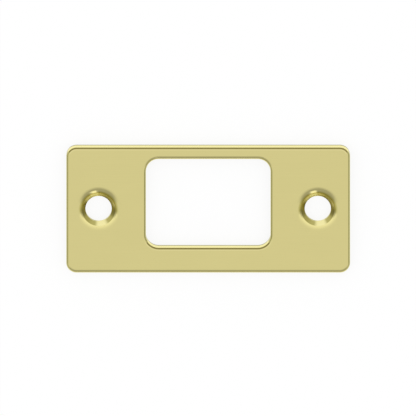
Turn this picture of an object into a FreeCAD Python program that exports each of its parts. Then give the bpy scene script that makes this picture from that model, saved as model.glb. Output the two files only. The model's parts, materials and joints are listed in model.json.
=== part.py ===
# Deadbolt strike plate, cut from one flat bar of brass. All sizes are in millimetres.
#
# The plate lies flat on its back face, and the origin is the centre of that face.
# +X runs along the plate, +Y across it towards the narrow rail, and +Z out of the front face.
import FreeCAD, Part
import math
import os
import Sketcher
from FreeCAD import Placement, Rotation, Vector

# Driving dimensions: name, value and what it measures
DIMENSIONS = [
    ("plate_thickness", 3.175, "front face to back face"),
    ("plate_corner_radius", 2.5, "rounding of the outline's four corners"),
    ("opening_length", 30.7, "opening for the bolt, along the plate"),
    ("opening_width", 22.2, "opening for the bolt, across the plate"),
    ("opening_corner_radius", 3.175, "rounding of the opening's four corners"),
    ("narrow_rail_width", 3.1, "brass left beside the opening on the +Y side"),
    ("wide_rail_width", 6.45, "brass left beside the opening on the -Y side"),
    ("opening_to_screw", 11.6375, "end of the opening to the centre of a screw hole"),
    ("screw_to_end", 7.9375, "centre of a screw hole to the end of the plate"),
    ("screw_hole_diameter", 6.5, "straight part of a screw hole"),
    ("screw_land", 1.4, "height of that straight part above the back face"),
    ("countersink_angle", 82, "full angle of the countersink, in degrees"),
    ("rim_radius", 2.4, "buffed rounding where a countersink meets the front face"),
    ("front_edge_radius", 0.9, "buffed rounding of the outline and opening at the front face"),
    ("back_edge_break", 0.15, "chamfer that takes the burr off every edge of the back face"),
]

# Sizes that follow from the driving dimensions
PLATE_LENGTH = "sizes.opening_length + 2 * (sizes.opening_to_screw + sizes.screw_to_end)"
PLATE_WIDTH = "sizes.opening_width + sizes.narrow_rail_width + sizes.wide_rail_width"
OPENING_OFFSET = "(sizes.wide_rail_width - sizes.narrow_rail_width) / 2"
SCREW_OFFSET = "sizes.opening_length / 2 + sizes.opening_to_screw"
COUNTERSINK_DEPTH = "(sizes.plate_thickness - sizes.screw_land)"
COUNTERSINK_WIDENING = COUNTERSINK_DEPTH + " * tan(sizes.countersink_angle / 2)"
COUNTERSINK_DIAMETER = "sizes.screw_hole_diameter + 2 * " + COUNTERSINK_WIDENING

# Lengths nearer than this are the same length
LENGTH_TOLERANCE = 1e-6
# A cut that removes this share more or less than it should is a failed cut
VOLUME_TOLERANCE = 1e-4


def make_sheet(doc):
    """Spreadsheet with a named row for each driving dimension."""
    sheet = doc.addObject("Spreadsheet::Sheet", "sizes")
    for row, (name, value, meaning) in enumerate(DIMENSIONS, start=1):
        sheet.set("A%d" % row, name)
        sheet.set("B%d" % row, str(value))
        sheet.set("C%d" % row, meaning)
        sheet.setAlias("B%d" % row, name)
    doc.recompute()
    return sheet


def origin_plane(body, role):
    """One of the body's own origin planes."""
    return next(plane for plane in body.Origin.OriginFeatures if plane.Role == role)


def new_sketch(body, name, height=None):
    """Sketch parallel to the back face, at a height above it that an expression gives."""
    sketch = body.newObject("Sketcher::SketchObject", name)
    sketch.AttachmentSupport = [(origin_plane(body, "XY_Plane"), "")]
    sketch.MapMode = "FlatFace"
    if height:
        sketch.AttachmentOffset = Placement(Vector(), Rotation())
        sketch.setExpression("AttachmentOffset.Base.z", height)
    return sketch


def dimension(sketch, name, expression, *constraint):
    """Dimension in a sketch that an expression drives."""
    value = sketch.evalExpression(expression)
    index = sketch.addConstraint(Sketcher.Constraint(*constraint, value))
    sketch.renameConstraint(index, name)
    sketch.setExpression("Constraints." + name, expression)


def rounded_rectangle(sketch, length, width, radius, offset):
    """Rounded rectangle centred on the Y axis, with its centre at an offset along that axis."""
    corner = sketch.evalExpression(radius)
    inner_x = sketch.evalExpression(length) / 2 - corner
    inner_y = sketch.evalExpression(width) / 2 - corner
    centre_y = sketch.evalExpression(offset)

    # Corner arcs, anticlockwise from the one at +X -Y
    arcs = []
    quarter = math.pi / 2
    for turn, (side_x, side_y) in enumerate([(1, -1), (1, 1), (-1, 1), (-1, -1)]):
        centre = Vector(side_x * inner_x, centre_y + side_y * inner_y)
        circle = Part.Circle(centre, Vector(0, 0, 1), corner)
        arc = Part.ArcOfCircle(circle, (turn - 1) * quarter, turn * quarter)
        arcs.append((sketch.addGeometry(arc), arc.StartPoint, arc.EndPoint))

    # Sides +X, +Y, -X and -Y, each from the end of one arc to the start of the next
    sides = []
    for turn, (_, _, start) in enumerate(arcs):
        end = arcs[(turn + 1) % 4][1]
        sides.append(sketch.addGeometry(Part.LineSegment(start, end)))

    for turn, (arc, _, _) in enumerate(arcs):
        next_arc = arcs[(turn + 1) % 4][0]
        sketch.addConstraint(Sketcher.Constraint("Tangent", arc, 2, sides[turn], 1))
        sketch.addConstraint(Sketcher.Constraint("Tangent", sides[turn], 2, next_arc, 1))
        sketch.addConstraint(Sketcher.Constraint(("Vertical", "Horizontal")[turn % 2], sides[turn]))
        if turn:
            sketch.addConstraint(Sketcher.Constraint("Equal", arcs[0][0], arc))

    right, top, left, bottom = sides
    origin = (-1, 1)
    dimension(sketch, "radius", radius, "Radius", arcs[0][0])
    dimension(sketch, "length", length, "DistanceX", left, 1, right, 1)
    dimension(sketch, "width", width, "DistanceY", bottom, 1, top, 1)
    dimension(sketch, "to_right_side", "(%s) / 2" % length, "DistanceX", *origin, right, 1)
    dimension(sketch, "to_top_side", "(%s) / 2 + %s" % (width, offset), "DistanceY", *origin, top, 1)


def rectangle_area(sheet, length, width, radius):
    """Area of a rounded rectangle."""
    corner = sheet.evalExpression(radius)
    whole = sheet.evalExpression("(%s) * (%s)" % (length, width))
    return whole - (4 - math.pi) * corner ** 2


def require_volume(before, after, expected):
    """Stop if a cut didn't remove what it should."""
    removed = before.Shape.Volume - after.Shape.Volume
    if abs(removed - expected) > VOLUME_TOLERANCE * expected:
        raise RuntimeError("%s removes %.3f, not %.3f" % (after.Name, removed, expected))


def cut_blank(body):
    """Flat blank: the plate's outline at its full thickness."""
    sketch = new_sketch(body, "outline")
    rounded_rectangle(sketch, PLATE_LENGTH, PLATE_WIDTH, "sizes.plate_corner_radius", "0")
    blank = body.newObject("PartDesign::Pad", "blank")
    blank.Profile = sketch
    blank.setExpression("Length", "sizes.plate_thickness")
    body.Document.recompute()
    return blank


def cut_bolt_opening(body, sheet, blank):
    """Opening for the bolt, right through the blank."""
    sketch = new_sketch(body, "opening_outline", "sizes.plate_thickness")
    size = ("sizes.opening_length", "sizes.opening_width", "sizes.opening_corner_radius")
    rounded_rectangle(sketch, *size, OPENING_OFFSET)
    opening = body.newObject("PartDesign::Pocket", "bolt_opening")
    opening.Profile = sketch
    opening.Type = "ThroughAll"
    opening.Reversed = False
    body.Document.recompute()
    thickness = sheet.evalExpression("sizes.plate_thickness")
    require_volume(blank, opening, thickness * rectangle_area(sheet, *size))
    return opening


def drill_screw_holes(body, sheet, opening):
    """Countersunk screw hole on the +X side, and its mirror image on the -X side."""
    sketch = new_sketch(body, "screw_centre", "sizes.plate_thickness")
    hole_radius = sheet.evalExpression("sizes.screw_hole_diameter / 2")
    centre = Vector(sheet.evalExpression(SCREW_OFFSET), 0)
    circle = sketch.addGeometry(Part.Circle(centre, Vector(0, 0, 1), hole_radius))
    sketch.addConstraint(Sketcher.Constraint("PointOnObject", circle, 3, -1))
    dimension(sketch, "screw_offset", SCREW_OFFSET, "DistanceX", -1, 1, circle, 3)
    dimension(sketch, "hole_diameter", "sizes.screw_hole_diameter", "Diameter", circle)
    body.Document.recompute()

    hole = body.newObject("PartDesign::Hole", "screw_hole")
    hole.Profile = sketch
    hole.DepthType = "ThroughAll"
    hole.DrillPoint = "Flat"
    hole.HoleCutType = "Countersink"
    hole.setExpression("Diameter", "sizes.screw_hole_diameter")
    hole.setExpression("HoleCutDiameter", COUNTERSINK_DIAMETER)
    hole.setExpression("HoleCutCountersinkAngle", "sizes.countersink_angle")
    body.Document.recompute()

    # A straight hole all the way, and the ring between it and the cone
    depth = sheet.evalExpression(COUNTERSINK_DEPTH)
    mouth_radius = sheet.evalExpression("(%s) / 2" % COUNTERSINK_DIAMETER)
    land = sheet.evalExpression("sizes.screw_land")
    cone = math.pi * depth * (mouth_radius ** 2 + mouth_radius * hole_radius + hole_radius ** 2) / 3
    hole_volume = cone + math.pi * hole_radius ** 2 * land
    require_volume(opening, hole, hole_volume)

    both = body.newObject("PartDesign::Mirrored", "both_screw_holes")
    both.Originals = [hole]
    both.MirrorPlane = (origin_plane(body, "YZ_Plane"), [""])
    body.Tip = both
    body.Document.recompute()
    require_volume(hole, both, hole_volume)
    return both


def edges_at(feature, height, round_holes):
    """Names of the edges that lie at a height: those of round holes, or all the others."""
    names = []
    for number, edge in enumerate(feature.Shape.Edges, start=1):
        points = [vertex.Point for vertex in edge.Vertexes] + [edge.CenterOfMass]
        level = all(abs(point.z - height) < LENGTH_TOLERANCE for point in points)
        full_circle = edge.isClosed() and isinstance(edge.Curve, Part.Circle)
        if level and full_circle == round_holes:
            names.append("Edge%d" % number)
    return names


def dress_edges(body, kind, name, feature, edges, size_property, size):
    """Fillet or chamfer along the named edges of the feature before it."""
    dressed = body.newObject(kind, name)
    dressed.Base = (feature, edges)
    dressed.setExpression(size_property, size)
    body.Tip = dressed
    body.Document.recompute()
    return dressed


def finish_edges(body, sheet, feature):
    """Buffed roundings at the front face, and a small chamfer on every edge of the back face."""
    front = sheet.evalExpression("sizes.plate_thickness")
    edges = edges_at(feature, front, round_holes=False)
    rolled = dress_edges(body, "PartDesign::Fillet", "front_edges", feature, edges,
                         "Radius", "sizes.front_edge_radius")
    edges = edges_at(rolled, front, round_holes=True)
    rims = dress_edges(body, "PartDesign::Fillet", "countersink_rims", rolled, edges,
                       "Radius", "sizes.rim_radius")
    edges = edges_at(rims, 0, round_holes=False) + edges_at(rims, 0, round_holes=True)
    return dress_edges(body, "PartDesign::Chamfer", "back_edges", rims, edges,
                       "Size", "sizes.back_edge_break")


def make_strike_plate(doc, sheet):
    """The whole plate, as one body."""
    body = doc.addObject("PartDesign::Body", "strike_plate")
    body.Label = "strike_plate"
    body.Placement = Placement()
    blank = cut_blank(body)
    opening = cut_bolt_opening(body, sheet, blank)
    holes = drill_screw_holes(body, sheet, opening)
    finish_edges(body, sheet, holes)
    return body


def require_sound(doc, body):
    """Stop if a feature failed or the body isn't one closed, valid solid."""
    for item in doc.Objects:
        if "Invalid" in item.State or "Error" in item.State:
            raise RuntimeError("%s failed: %s" % (item.Name, item.State))
    shape = body.Shape
    if shape.isNull() or not shape.isValid() or len(shape.Solids) != 1:
        raise RuntimeError("%s isn't one valid solid" % body.Label)


def main():
    doc = FreeCAD.newDocument("strike_plate")
    sheet = make_sheet(doc)
    body = make_strike_plate(doc, sheet)
    doc.recompute()
    require_sound(doc, body)
    os.makedirs("parts", exist_ok=True)
    body.Shape.exportStep("parts/%s.step" % body.Label)


main()
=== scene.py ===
import json
import math

import bpy
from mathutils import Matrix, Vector


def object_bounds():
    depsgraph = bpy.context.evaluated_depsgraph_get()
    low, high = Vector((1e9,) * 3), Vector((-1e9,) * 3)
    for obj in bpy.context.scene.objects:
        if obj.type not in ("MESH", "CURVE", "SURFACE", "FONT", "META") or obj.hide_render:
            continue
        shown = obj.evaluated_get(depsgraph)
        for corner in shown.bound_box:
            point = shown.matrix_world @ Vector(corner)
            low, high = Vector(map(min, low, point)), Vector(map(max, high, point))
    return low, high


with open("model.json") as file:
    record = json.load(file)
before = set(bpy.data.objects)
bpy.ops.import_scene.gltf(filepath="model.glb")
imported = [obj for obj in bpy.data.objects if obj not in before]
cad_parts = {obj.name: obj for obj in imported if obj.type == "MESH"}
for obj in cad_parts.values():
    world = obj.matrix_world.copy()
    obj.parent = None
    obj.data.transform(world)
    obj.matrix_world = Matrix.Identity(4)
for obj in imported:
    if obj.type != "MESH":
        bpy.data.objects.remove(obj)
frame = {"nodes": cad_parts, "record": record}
cad_low, cad_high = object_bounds()

PLATE = frame["nodes"]["strike_plate"]
MM = 0.001

# Framing: the photograph is 416 pixels wide, and the plate spans 283.7 of them
PHOTO_WIDTH_PX = 416
PLATE_WIDTH_PX = 283.7
# The camera stands 12.6 degrees off the plate's normal, towards the narrow rail
CAMERA_TILT = math.radians(12.6)
CAMERA_DISTANCE = 0.4
CAMERA_RANGE = (0.01, 10)
# Where the middle of the picture falls on the plate
PICTURE_CENTRE = Vector((-0.05 * MM, -0.12 * MM, 0))
# Below, far is +Y, at the top of the picture, and near is -Y, at its bottom
FAR_AXIS = (0, 1, 0)

# The floor lies just below the plate, so that their faces don't meet
FLOOR_WIDTH = 3.8
FLOOR_DROP = 0.05 * MM
# Share of the floor's white that daylight gives it, so that it takes the plate's shadow
FLOOR_DAYLIGHT = 0.14

# Light levels of the studio that the polished metal mirrors, where 1 is white
STUDIO_RADIUS = 2.0
OVERHEAD = 0.82
FAR_GAIN = 0.3
NEAR_FLAG = 0.46
SIDE_FLAG = 0.3
NEAR_LAMP = 1.25
# Each pair of numbers below is where something starts and where it is full
# In the studio they are x, y or z of a direction from the plate
FAR_SIDE = (-0.15, 0.1)
NEAR_FLAG_EDGE = (-0.26, -0.6)
SIDE_FLAG_EDGE = (0.88, 1.04)
LOW_FLAG_EDGE = (0.14, 0.02)
# The near flag's edge slants: at the sides it lies further out
NEAR_FLAG_SLANT = 0.22
# How fast the far side's gain dies away upwards
FAR_GAIN_POWER = 4.0
# The lamp's bearings, its heights, and where its beam crosses the plate
# Each is where the lamp's light starts, is full, begins to fall off and ends
LAMP_BEARINGS = [math.radians(angle) for angle in (-88, -84, -75, -69)]
LAMP_HEIGHTS = (-0.1, 0.0, 0.46, 0.66)
LAMP_BEAM = (-12.5 * MM, -10 * MM, 8 * MM, 16 * MM)

# Brass tones: the polished face and the satin back, with painted shade on the rounded edges, a
# painted highlight on the shoulder, a painted dark line and a painted bright reflection on walls
# that face far, and a painted shadow at the foot of the walls
POLISHED = (0.79, 0.71, 0.31, 1)
SIDE_PAINTED_SHADE = (0.50, 0.46, 0.18, 1)
SHOULDER_PAINTED_HIGHLIGHT = (0.86, 0.77, 0.36, 1)
LINE_PAINTED_SHADE = (0.26, 0.22, 0.065, 1)
WALL_PAINTED_REFLECTION = (0.97, 0.89, 0.42, 1)
FOOT_PAINTED_SHADOW = (0.20, 0.18, 0.12, 1)
BACK_TONE = (0.74, 0.66, 0.30, 1)
# What the metal mirrors at a grazing angle takes this tint
GRAZING_TINT = (1, 0.98, 0.75, 1)

# Edges. A lean is the normal's z: 1 is level, 0 is a wall and -1 is the back
ROUNDED_LEAN = (0.92, 0.82)
BACK_LEAN = (-0.3, -0.6)
# Down an edge that faces far: a painted highlight on the shoulder, a painted dark line of shade and
# a painted bright reflection on the wall
FAR_PAINTED_BANDS = (
    ((0.998, 0.97), SHOULDER_PAINTED_HIGHLIGHT),
    ((0.90, 0.86), LINE_PAINTED_SHADE),
    ((0.55, 0.49), WALL_PAINTED_REFLECTION),
)
# A facing is 1 head on, 0 sideways and -1 away. Edges that face near get a share of the painted side
# shade
FAR_FACING = (0.42, 0.62)
SIDE_FACING = (-0.9, -0.1)
NEAR_SHARE = 0.25
# A painted contact shadow darkens the foot of the walls
FOOT_LEAN = (0.3, 0.1)
FOOT_HEIGHT = (1.1 * MM, 0.75 * MM)

# Screw holes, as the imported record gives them
MOUNTS = {mount["name"]: mount for mount in frame["record"]["mounts"]}
SCREW_X = MOUNTS["screw_hole_right"]["pos_m"][0]
# Distances from a screw hole's axis: the cone, the ring of painted shade round it, and all beyond
# the buffed rim
CONE_RADII = (4.15 * MM, 4.05 * MM)
RING_RADII = (5.05 * MM, 4.35 * MM)
EDGE_RADII = (6.1 * MM, 6.3 * MM)

# Painted shade and highlights of the ring and the cone, and the level axes that their patches face
# along
RING_PAINTED_SHADE = (0.52, 0.46, 0.13, 1)
RING_FACING = (0.3, 0.0)
CONE_PAINTED_LIGHT = (0.78, 0.735, 0.48, 1)
CONE_PAINTED_SHADE = (0.33, 0.29, 0.08, 1)
SHADE_AXIS = (0.12, 0.98, 0)
SHADE_FACING = (-0.55, -0.15)
LOWER_PAINTED_SHADE = (0.52, 0.47, 0.17, 1)
LOWER_FACING = (0.45, 0.95)
LOWER_SHARE = 0.6
PATCH_PAINTED_HIGHLIGHT = (0.84, 0.77, 0.37, 1)
PATCH_AXIS = (-0.2, 0.98, 0)
PATCH_FACING = (0.89, 0.99)
GLINT_PAINTED_HIGHLIGHT = (1, 0.98, 0.75, 1)
GLINT_AXIS = (0.267, -0.964, 0)
GLINT_FACING = (0.96, 0.985)

# The countersinking tool leaves rings on the cone
TOOL_RING_PITCH = 0.18 * MM
# It also dishes the cone a little, so that it mirrors higher up. This is added to the normal's z
DISH = 0.2
DISH_LEAN = (0.3, 0.5)

# Buffing lines along the plate and a faint cloudiness, in waves for each metre along x, y and z
GRAIN_SCALE = (60, 5000, 5000)
GRAIN_DETAIL = 3.0
CLOUD_SCALE = (150, 250, 150)
CLOUD_DETAIL = 2.0
# How far the lines, the cloudiness and the tool's rings change the brightness
FRONT_GRAIN = 0.05
BACK_GRAIN = 0.25
CLOUD_DEPTH = 0.03
TOOL_RING_DEPTH = 0.05
# Roughness of the front and the back, and how far the lines and the cloudiness change it
FRONT_ROUGHNESS = 0.12
FRONT_GRAIN_ROUGHNESS = 0.08
CLOUD_ROUGHNESS = 0.04
BACK_ROUGHNESS = 0.34
BACK_GRAIN_ROUGHNESS = 0.2
# Height of the lines, and the tool rings' share of it
GRAIN_HEIGHT = 0.0008 * MM
TOOL_RING_SHARE = 0.5


class Nodes:
    """A material's node tree, with short calls for the sums that the looks need."""

    def __init__(self, material):
        material.use_nodes = True
        self.tree = material.node_tree

    def new(self, kind, **settings):
        node = self.tree.nodes.new(kind)
        for name, value in settings.items():
            setattr(node, name, value)
        return node

    def link(self, value, socket):
        """Connect another node's output, or set a plain number, colour or direction."""
        if isinstance(value, bpy.types.NodeSocket):
            self.tree.links.new(value, socket)
        else:
            socket.default_value = value

    def maths(self, operation, *values):
        node = self.new("ShaderNodeMath", operation=operation)
        for value, socket in zip(values, node.inputs):
            self.link(value, socket)
        return node.outputs[0]

    def product(self, first, *others):
        for other in others:
            first = self.maths("MULTIPLY", first, other)
        return first

    def total(self, first, *others):
        for other in others:
            first = self.maths("ADD", first, other)
        return first

    def length(self, x, y):
        """Length of a level distance or direction."""
        return self.maths("SQRT", self.total(self.product(x, x), self.product(y, y)))

    def level_length(self, x, y):
        """Length of a direction's level part, never so small that a division by it runs away."""
        return self.maths("MAXIMUM", self.length(x, y), 0.01)

    def vector(self, operation, *values, output="Vector"):
        node = self.new("ShaderNodeVectorMath", operation=operation)
        for value, socket in zip(values, node.inputs):
            self.link(value, socket)
        return node.outputs[output]

    def scaled(self, colour, factor):
        """A colour or direction times a number."""
        node = self.new("ShaderNodeVectorMath", operation="SCALE")
        self.link(colour, node.inputs[0])
        self.link(factor, node.inputs["Scale"])
        return node.outputs["Vector"]

    def split(self, value):
        """The x, y and z of a place or direction."""
        node = self.new("ShaderNodeSeparateXYZ")
        self.link(value, node.inputs[0])
        return node.outputs

    def ramp(self, value, start, full, low=0.0, high=1.0):
        """A smooth step: low up to start, and high from full on."""
        node = self.new("ShaderNodeMapRange", interpolation_type="SMOOTHSTEP")
        for socket, entry in zip(node.inputs, (value, start, full, low, high)):
            self.link(entry, socket)
        return node.outputs["Result"]

    def window(self, value, start, full, falling, end):
        """Two smooth steps: 1 between full and falling, and 0 before start and after end."""
        return self.product(self.ramp(value, start, full), self.ramp(value, end, falling))

    def mix(self, factor, first, second):
        """Blend of two numbers."""
        node = self.new("ShaderNodeMix", data_type="FLOAT")
        self.link(factor, node.inputs["Factor"])
        self.link(first, node.inputs[2])
        self.link(second, node.inputs[3])
        return node.outputs[0]

    def blend(self, factor, first, second):
        """Blend of two colours."""
        node = self.new("ShaderNodeMix", data_type="RGBA")
        self.link(factor, node.inputs["Factor"])
        self.link(first, node.inputs[6])
        self.link(second, node.inputs[7])
        return node.outputs[2]

    def noise(self, place, scale, detail):
        """Noise around 0, from about -0.5 to 0.5."""
        node = self.new("ShaderNodeTexNoise")
        self.link(self.vector("MULTIPLY", place, scale), node.inputs["Vector"])
        self.link(1.0, node.inputs["Scale"])
        self.link(detail, node.inputs["Detail"])
        return self.maths("SUBTRACT", node.outputs[0], 0.5)

    def glow(self, strength):
        """White light of the given strength."""
        node = self.new("ShaderNodeEmission")
        self.link(strength, node.inputs["Strength"])
        return node.outputs[0]

    def show(self, shader):
        """Make a shader the material's surface."""
        self.link(shader, self.new("ShaderNodeOutputMaterial").inputs["Surface"])


class Brass(Nodes):
    """The plate's node tree, which knows where a point is and how its surface lies."""

    def __init__(self, material):
        super().__init__(material)
        coordinates = self.new("ShaderNodeTexCoord").outputs
        self.place = coordinates["Object"]
        self.normal = coordinates["Normal"]
        x, y, self.height = self.split(self.place)
        normal_x, normal_y, self.lean = self.split(self.normal)
        self.level_part = self.level_length(normal_x, normal_y)
        # The two screw holes mirror each other, so the nearer one counts
        beside_screw = self.maths("SUBTRACT", self.maths("ABSOLUTE", x), SCREW_X)
        self.from_screw = self.length(beside_screw, y)
        self.is_cone = self.ramp(self.from_screw, *CONE_RADII)
        self.is_edge = self.ramp(self.from_screw, *EDGE_RADII)
        self.is_back = self.ramp(self.lean, *BACK_LEAN)

    def facing(self, axis):
        """How squarely the surface faces along a level axis, whatever its lean."""
        share = self.vector("DOT_PRODUCT", self.normal, axis, output="Value")
        return self.maths("DIVIDE", share, self.level_part)

    def edge_painted_light(self, tone):
        """Painted shade on the edges all round, with bands of painted highlight, shade and
        reflection down those that face far, and a painted shadow at the foot.
        """
        facing_far = self.facing(FAR_AXIS)
        # Painted shade on the rounded edges, with only a share of it on those that face near
        side = self.product(self.is_edge, self.ramp(self.lean, *ROUNDED_LEAN),
                            self.ramp(facing_far, *SIDE_FACING, NEAR_SHARE, 1.0))
        tone = self.blend(side, tone, SIDE_PAINTED_SHADE)
        # Bands of painted highlight, shade and reflection down the edges that face far
        is_far = self.product(self.is_edge, self.ramp(facing_far, *FAR_FACING))
        for lean, painted_band in FAR_PAINTED_BANDS:
            tone = self.blend(self.product(is_far, self.ramp(self.lean, *lean)), tone, painted_band)
        # Painted contact shadow at the foot of the walls
        foot = self.product(self.is_edge, self.ramp(self.lean, *FOOT_LEAN),
                            self.ramp(self.height, *FOOT_HEIGHT))
        return self.blend(foot, tone, FOOT_PAINTED_SHADOW)

    def countersink_painted_light(self, tone):
        """Painted shade: a dark half ring on the far side, and a cone with painted lit and shaded
        sides, a painted bright patch and a painted glint.
        """
        # A painted glint, and a half ring of painted shade round the cone except at the glint
        glint = self.ramp(self.facing(GLINT_AXIS), *GLINT_FACING)
        ring = self.product(self.ramp(self.from_screw, *RING_RADII),
                            self.ramp(self.facing(FAR_AXIS), *RING_FACING),
                            self.maths("SUBTRACT", 1.0, glint))
        tone = self.blend(ring, tone, RING_PAINTED_SHADE)
        # The cone: painted lit and shaded sides, a painted bright patch, and a painted glint where
        # the lamp's glint falls
        cone = self.blend(self.ramp(self.facing(SHADE_AXIS), *SHADE_FACING), CONE_PAINTED_LIGHT, CONE_PAINTED_SHADE)
        facing_patch = self.facing(PATCH_AXIS)
        cone = self.blend(self.ramp(facing_patch, *LOWER_FACING, 0.0, LOWER_SHARE), cone, LOWER_PAINTED_SHADE)
        cone = self.blend(self.ramp(facing_patch, *PATCH_FACING), cone, PATCH_PAINTED_HIGHLIGHT)
        cone = self.blend(glint, cone, GLINT_PAINTED_HIGHLIGHT)
        return self.blend(self.is_cone, tone, cone)

    def dished_normal(self):
        """The surface's normal, which leans up a little on the cones, in the world's space."""
        lift = self.product(self.is_cone, self.ramp(self.lean, *DISH_LEAN), DISH)
        to_world = self.new("ShaderNodeVectorTransform", vector_type="NORMAL",
                            convert_from="OBJECT", convert_to="WORLD")
        self.link(self.vector("ADD", self.normal, self.scaled((0, 0, 1), lift)), to_world.inputs[0])
        return self.vector("NORMALIZE", to_world.outputs[0])


def make_camera():
    """Parallel view from above, with the narrow rail at the top of the picture."""
    data = bpy.data.cameras.new("camera")
    data.type = "ORTHO"
    data.ortho_scale = (cad_high.x - cad_low.x) * PHOTO_WIDTH_PX / PLATE_WIDTH_PX
    data.clip_start, data.clip_end = CAMERA_RANGE
    camera = bpy.data.objects.new("camera", data)
    back = Vector((0, math.sin(CAMERA_TILT), math.cos(CAMERA_TILT)))
    camera.location = PICTURE_CENTRE + back * CAMERA_DISTANCE
    camera.rotation_euler = (-CAMERA_TILT, 0, 0)
    bpy.context.scene.collection.objects.link(camera)
    bpy.context.scene.camera = camera


def make_world():
    """Plain white daylight."""
    world = bpy.data.worlds.new("studio")
    world.use_nodes = True
    bpy.context.scene.world = world
    background = world.node_tree.nodes["Background"]
    background.inputs["Color"].default_value = (1, 1, 1, 1)
    background.inputs["Strength"].default_value = 1


def make_floor():
    """White floor, with the plate's faint shadow on it. From below, the plate shows through it."""
    bpy.ops.mesh.primitive_plane_add(size=FLOOR_WIDTH, location=(0, 0, -FLOOR_DROP))
    floor = bpy.context.object
    floor.name = "floor"
    material = bpy.data.materials.new("floor")
    nodes = Nodes(material)
    nodes.tree.nodes.clear()
    white = nodes.new("ShaderNodeBsdfDiffuse")
    white.inputs["Color"].default_value = (FLOOR_DAYLIGHT, FLOOR_DAYLIGHT, FLOOR_DAYLIGHT, 1)
    # The rest of its white is a glow, which is seen and mirrored but lights no matt surface
    path = nodes.new("ShaderNodeLightPath").outputs
    seen = nodes.maths("MAXIMUM", path["Is Camera Ray"], path["Is Glossy Ray"])
    seen = nodes.maths("MAXIMUM", seen, path["Is Transmission Ray"])
    lit = nodes.new("ShaderNodeAddShader")
    nodes.link(white.outputs[0], lit.inputs[0])
    nodes.link(nodes.glow(nodes.product(seen, 1 - FLOOR_DAYLIGHT)), lit.inputs[1])
    one_sided = nodes.new("ShaderNodeMixShader")
    nodes.link(nodes.new("ShaderNodeNewGeometry").outputs["Backfacing"], one_sided.inputs[0])
    nodes.link(lit.outputs[0], one_sided.inputs[1])
    nodes.link(nodes.new("ShaderNodeBsdfTransparent").outputs[0], one_sided.inputs[2])
    nodes.show(one_sided.outputs[0])
    floor.data.materials.append(material)


def make_studio():
    """Scrim, flags and a lamp around the plate, which only the polished metal mirrors."""
    bpy.ops.mesh.primitive_uv_sphere_add(segments=64, ring_count=32, radius=STUDIO_RADIUS)
    studio = bpy.context.object
    studio.name = "studio_dome"
    material = bpy.data.materials.new("studio_dome")
    nodes = Nodes(material)
    nodes.tree.nodes.clear()
    place = nodes.new("ShaderNodeTexCoord").outputs["Object"]
    x, y, z = nodes.split(nodes.vector("NORMALIZE", place))
    aside = nodes.maths("ABSOLUTE", x)

    # The scrim grows brighter low down on the far side, and a flag darkens the near side
    level_part = nodes.level_length(x, y)
    far_side = nodes.ramp(nodes.maths("DIVIDE", y, level_part), *FAR_SIDE)
    low_down = nodes.maths("POWER", level_part, FAR_GAIN_POWER)
    level = nodes.total(OVERHEAD, nodes.product(low_down, far_side, FAR_GAIN))
    near_flag = nodes.ramp(nodes.total(y, nodes.product(aside, NEAR_FLAG_SLANT)), *NEAR_FLAG_EDGE)
    level = nodes.mix(near_flag, level, NEAR_FLAG)
    # Flags stand on the left and right, and low down it is dark all round
    level = nodes.mix(nodes.ramp(aside, *SIDE_FLAG_EDGE), level, SIDE_FLAG)
    level = nodes.mix(nodes.ramp(z, *LOW_FLAG_EDGE), level, SIDE_FLAG)

    # A small lamp stands low down on the near side
    bearing = nodes.maths("ARCTAN2", y, x)
    lamp = nodes.product(nodes.window(bearing, *LAMP_BEARINGS), nodes.window(z, *LAMP_HEIGHTS))
    # Its barn doors leave it a low beam across the middle of the plate, where the screw holes are
    distance = nodes.vector("LENGTH", place, output="Value")
    ray = nodes.new("ShaderNodeLightPath").outputs["Ray Length"]
    beam = nodes.window(nodes.maths("SUBTRACT", distance, ray), *LAMP_BEAM)
    level = nodes.mix(nodes.product(lamp, beam), level, NEAR_LAMP)

    nodes.show(nodes.glow(level))
    material.cycles.emission_sampling = "NONE"
    studio.data.materials.append(material)
    studio.visible_camera = False
    studio.visible_diffuse = False
    studio.visible_transmission = False
    studio.visible_shadow = False


def make_brass():
    """Polished brass, with painted shade, highlights and reflections on the edges, walls and
    countersinks, and a satin back.
    """
    material = bpy.data.materials.new("polished_brass")
    brass = Brass(material)
    shader = brass.tree.nodes["Principled BSDF"]
    shader.inputs["Metallic"].default_value = 1
    shader.inputs["Specular Tint"].default_value = GRAZING_TINT

    grain = brass.noise(brass.place, GRAIN_SCALE, GRAIN_DETAIL)
    cloud = brass.noise(brass.place, CLOUD_SCALE, CLOUD_DETAIL)
    turns = brass.product(brass.from_screw, 2 * math.pi / TOOL_RING_PITCH)
    tool_rings = brass.product(brass.is_cone, brass.maths("SINE", turns))

    # Painted shade, highlights and reflections on the edges and countersinks
    tone = brass.countersink_painted_light(brass.edge_painted_light(POLISHED))
    tone = brass.blend(brass.is_back, tone, BACK_TONE)
    grain_depth = brass.mix(brass.is_back, FRONT_GRAIN, BACK_GRAIN)
    uneven = brass.total(1.0, brass.product(grain, grain_depth), brass.product(cloud, CLOUD_DEPTH),
                         brass.product(tool_rings, TOOL_RING_DEPTH))
    brass.link(brass.scaled(tone, uneven), shader.inputs["Base Color"])

    front = brass.total(FRONT_ROUGHNESS, brass.product(grain, FRONT_GRAIN_ROUGHNESS),
                        brass.product(cloud, CLOUD_ROUGHNESS))
    back = brass.total(BACK_ROUGHNESS, brass.product(grain, BACK_GRAIN_ROUGHNESS))
    brass.link(brass.mix(brass.is_back, front, back), shader.inputs["Roughness"])

    bump = brass.new("ShaderNodeBump")
    bump.inputs["Distance"].default_value = GRAIN_HEIGHT
    brass.link(brass.total(grain, brass.product(tool_rings, TOOL_RING_SHARE)), bump.inputs["Height"])
    brass.link(brass.dished_normal(), bump.inputs["Normal"])
    brass.link(bump.outputs[0], shader.inputs["Normal"])
    return material


make_camera()
make_world()
make_floor()
make_studio()
PLATE.material_slots[0].material = make_brass()
bpy.context.scene.view_settings.view_transform = "Standard"
